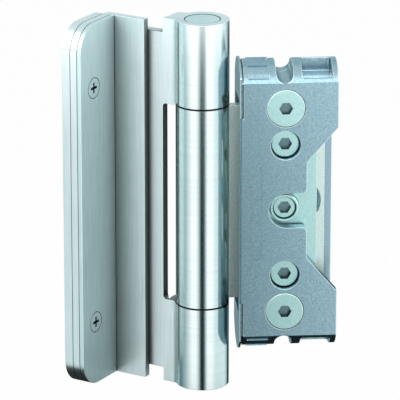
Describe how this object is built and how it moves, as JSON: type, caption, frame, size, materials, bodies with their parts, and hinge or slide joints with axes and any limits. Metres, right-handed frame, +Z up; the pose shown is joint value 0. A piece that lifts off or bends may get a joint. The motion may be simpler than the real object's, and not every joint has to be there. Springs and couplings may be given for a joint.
{
  "type": "mortise door hinge",
  "caption": "Door hinge with a three-part rolled knuckle, an angled door leaf with packing angle and cover, and a frame wing clamped in an adjustable die-cast receiver.",
  "frame": {"origin": "centre of the flat back face of the receiver, which seats in the door frame's pocket", "axes": "+Z up along the knuckle, +Y out of the receiver's back into the frame, the knuckle at -X"},
  "size_m": [0.114, 0.0351, 0.16],
  "materials": {
    "brushed_stainless": "fine brushed along the height, satin",
    "diecast_zinc": "as-cast zinc alloy, fine matt grain",
    "zinc_plated_steel": "bright zinc plating, smooth",
    "pin_steel": "ground and polished",
    "bearing_polymer": "self-lubricating polymer, matt"
  },
  "bodies": {
    "receiver": {"receiver_front": "diecast_zinc", "receiver_back": "diecast_zinc", "shell_screw_upper_left": "zinc_plated_steel", "shell_screw_upper_right": "zinc_plated_steel", "shell_screw_lower_left": "zinc_plated_steel", "shell_screw_lower_right": "zinc_plated_steel"},
    "depth_carriage": {"depth_carriage": "zinc_plated_steel", "clamp_plate": "zinc_plated_steel", "clamp_screw_upper": "zinc_plated_steel", "clamp_screw_lower": "zinc_plated_steel", "adjuster_bush": "zinc_plated_steel"},
    "height_slide": {"height_slide": "zinc_plated_steel"},
    "height_adjuster": {"height_adjuster": "zinc_plated_steel"},
    "depth_adjuster_upper": {"depth_adjuster_upper": "zinc_plated_steel", "retaining_ring_upper": "zinc_plated_steel"},
    "depth_adjuster_lower": {"depth_adjuster_lower": "zinc_plated_steel", "retaining_ring_lower": "zinc_plated_steel"},
    "frame_wing": {"frame_wing": "brushed_stainless", "bearing_bush_upper": "bearing_polymer", "bearing_bush_lower": "bearing_polymer"},
    "door_leaf": {"door_leaf": "brushed_stainless", "packing_angle": "brushed_stainless", "cover_plate": "brushed_stainless", "cover_screw_upper": "brushed_stainless", "cover_screw_lower": "brushed_stainless", "hinge_pin": "pin_steel", "pin_sleeve_upper": "pin_steel", "pin_sleeve_lower": "pin_steel", "pin_cap_upper": "brushed_stainless", "pin_cap_lower": "brushed_stainless"}
  },
  "joints": [
    {"name": "depth_slide", "type": "slide", "parent": "receiver", "child": "depth_carriage", "axis": [0, 1, 0], "range_m": [-0.0015, 0.0015]},
    {"name": "depth_adjuster_upper_turn", "type": "hinge", "parent": "receiver", "child": "depth_adjuster_upper", "pos_m": [-0.00135, -0.0261, 0.0445], "axis": [0, 1, 0], "range_deg": [-440, 440]},
    {"name": "depth_adjuster_lower_turn", "type": "hinge", "parent": "receiver", "child": "depth_adjuster_lower", "pos_m": [-0.00135, -0.0261, -0.0445], "axis": [0, 1, 0], "range_deg": [-440, 440]},
    {"name": "height_slide", "type": "slide", "parent": "depth_carriage", "child": "height_slide", "axis": [0, 0, 1], "range_m": [-0.003, 0.003]},
    {"name": "height_adjuster_turn", "type": "hinge", "parent": "depth_carriage", "child": "height_adjuster", "pos_m": [-0.00135, -0.0209, 0], "axis": [0, -1, 0], "range_deg": [-37, 37]},
    {"name": "side_slide", "type": "slide", "parent": "height_slide", "child": "frame_wing", "axis": [1, 0, 0], "range_m": [-0.003, 0.003]},
    {"name": "leaf_swing", "type": "hinge", "parent": "frame_wing", "child": "door_leaf", "pos_m": [-0.035, -0.0126, 0], "axis": [0, 0, 1], "range_deg": [-55, 125]}
  ],
  "couplings": [
    {"joint": "depth_adjuster_upper_turn", "follows": "depth_slide", "rad_per_m": 5026.5},
    {"joint": "depth_adjuster_lower_turn", "follows": "depth_slide", "rad_per_m": 5026.5},
    {"joint": "height_adjuster_turn", "follows": "height_slide", "rad_per_m": 214.5}
  ]
}
